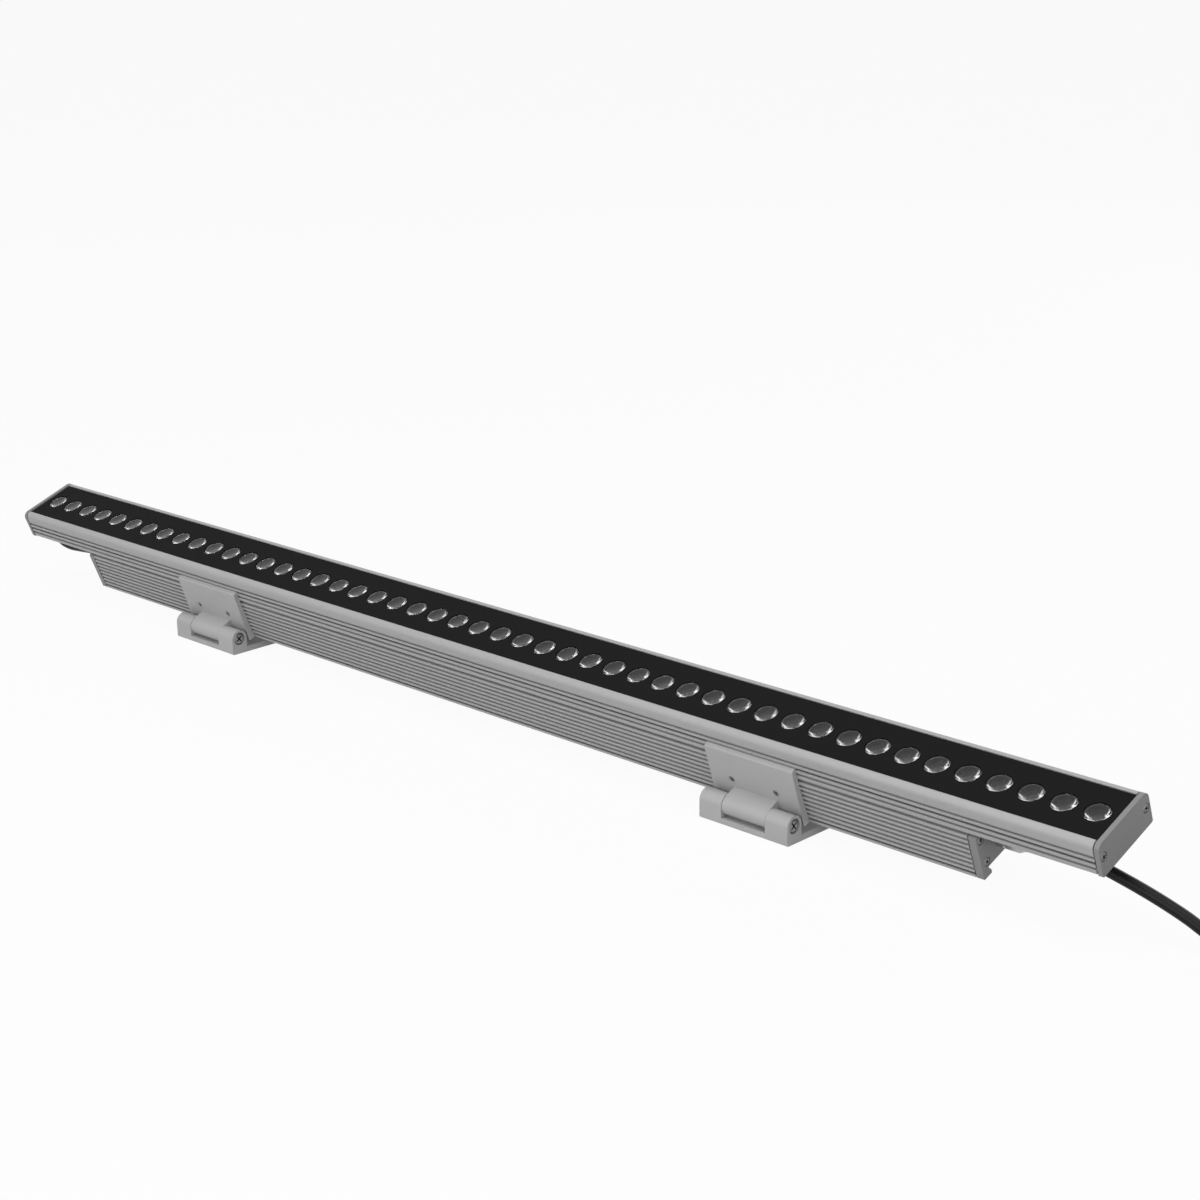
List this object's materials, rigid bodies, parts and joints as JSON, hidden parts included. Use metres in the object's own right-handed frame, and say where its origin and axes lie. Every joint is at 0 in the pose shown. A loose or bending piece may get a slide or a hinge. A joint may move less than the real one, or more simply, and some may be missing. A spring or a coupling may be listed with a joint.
{
  "type": "linear wall washer light",
  "caption": "Linear outdoor wall washer light: ribbed lamp head with a row of lenses and a driver housing below it, tilting on hinged clip brackets.",
  "frame": {"origin": "centre of the pattern of four fixing holes, on the mounting face under the feet", "axes": "+X along the lamp towards the supply gland, -Z out of the mounting face towards the wall or floor, and the lamp leans its light towards -Y as it tilts"},
  "size_m": [1.136, 0.1284, 0.0755],
  "materials": {
    "anodised_silver": "satin anodised extrusion with fine lines along its length",
    "cap_satin": "satin, lightly grained",
    "bracket_silver": "satin anodised",
    "panel_black": "matt black",
    "seal_rubber": "matt",
    "lens_clear": "clear, moulded",
    "holder_white": "matt",
    "board_white": "white solder mask",
    "led_yellow": "phosphor",
    "screw_steel": "satin stainless",
    "gland_nickel": "nickel plated",
    "driver_case": "satin",
    "terminal_white": "matt",
    "lead_insulation": "matt",
    "cable_black": "semi-matt",
    "connector_black": "semi-matt",
    "pin_brass": "plain"
  },
  "bodies": {
    "left_foot": {"left_foot": "bracket_silver", "left_hinge_bolt": "screw_steel", "left_hinge_nut": "screw_steel", "power_cable_coil": "cable_black", "coil_tie": "connector_black", "cable_connector": "connector_black", "connector_pins": "pin_brass"},
    "lamp": {"head_housing": "anodised_silver", "driver_housing": "anodised_silver", "left_head_cap": "cap_satin", "right_head_cap": "cap_satin", "left_driver_cap": "cap_satin", "right_driver_cap": "cap_satin", "left_arm": "bracket_silver", "right_arm": "bracket_silver", "front_panel": "panel_black", "panel_seal": "seal_rubber", "head_cap_gaskets": "seal_rubber", "driver_cap_gaskets": "seal_rubber", "supply_gland_seal": "seal_rubber", "link_grommet": "seal_rubber", "lenses": "lens_clear", "lens_holders": "holder_white", "led_boards": "board_white", "leds": "led_yellow", "head_cap_screws": "screw_steel", "driver_cap_screws": "screw_steel", "housing_screws": "screw_steel", "left_arm_screws": "screw_steel", "right_arm_screws": "screw_steel", "supply_gland": "gland_nickel", "supply_gland_nut": "gland_nickel", "link_gland": "gland_nickel", "link_gland_nut": "gland_nickel", "power_supply": "driver_case", "terminal_block": "terminal_white", "board_connector": "terminal_white", "supply_leads": "lead_insulation", "supply_tail": "cable_black", "link_lead": "cable_black", "power_cable": "cable_black"},
    "right_foot": {"right_foot": "bracket_silver", "right_hinge_bolt": "screw_steel", "right_hinge_nut": "screw_steel"}
  },
  "joints": [
    {"name": "tilt", "type": "hinge", "parent": "left_foot", "child": "lamp", "pos_m": [-0.262, -0.0374, 0.0112], "axis": [1, 0, 0], "range_deg": [-21, 89]},
    {"name": "right_tilt", "type": "hinge", "parent": "lamp", "child": "right_foot", "pos_m": [0.262, -0.0374, 0.0112], "axis": [1, 0, 0], "range_deg": [-89, 21]}
  ],
  "couplings": [
    {"joint": "right_tilt", "follows": "tilt", "ratio": -1}
  ]
}
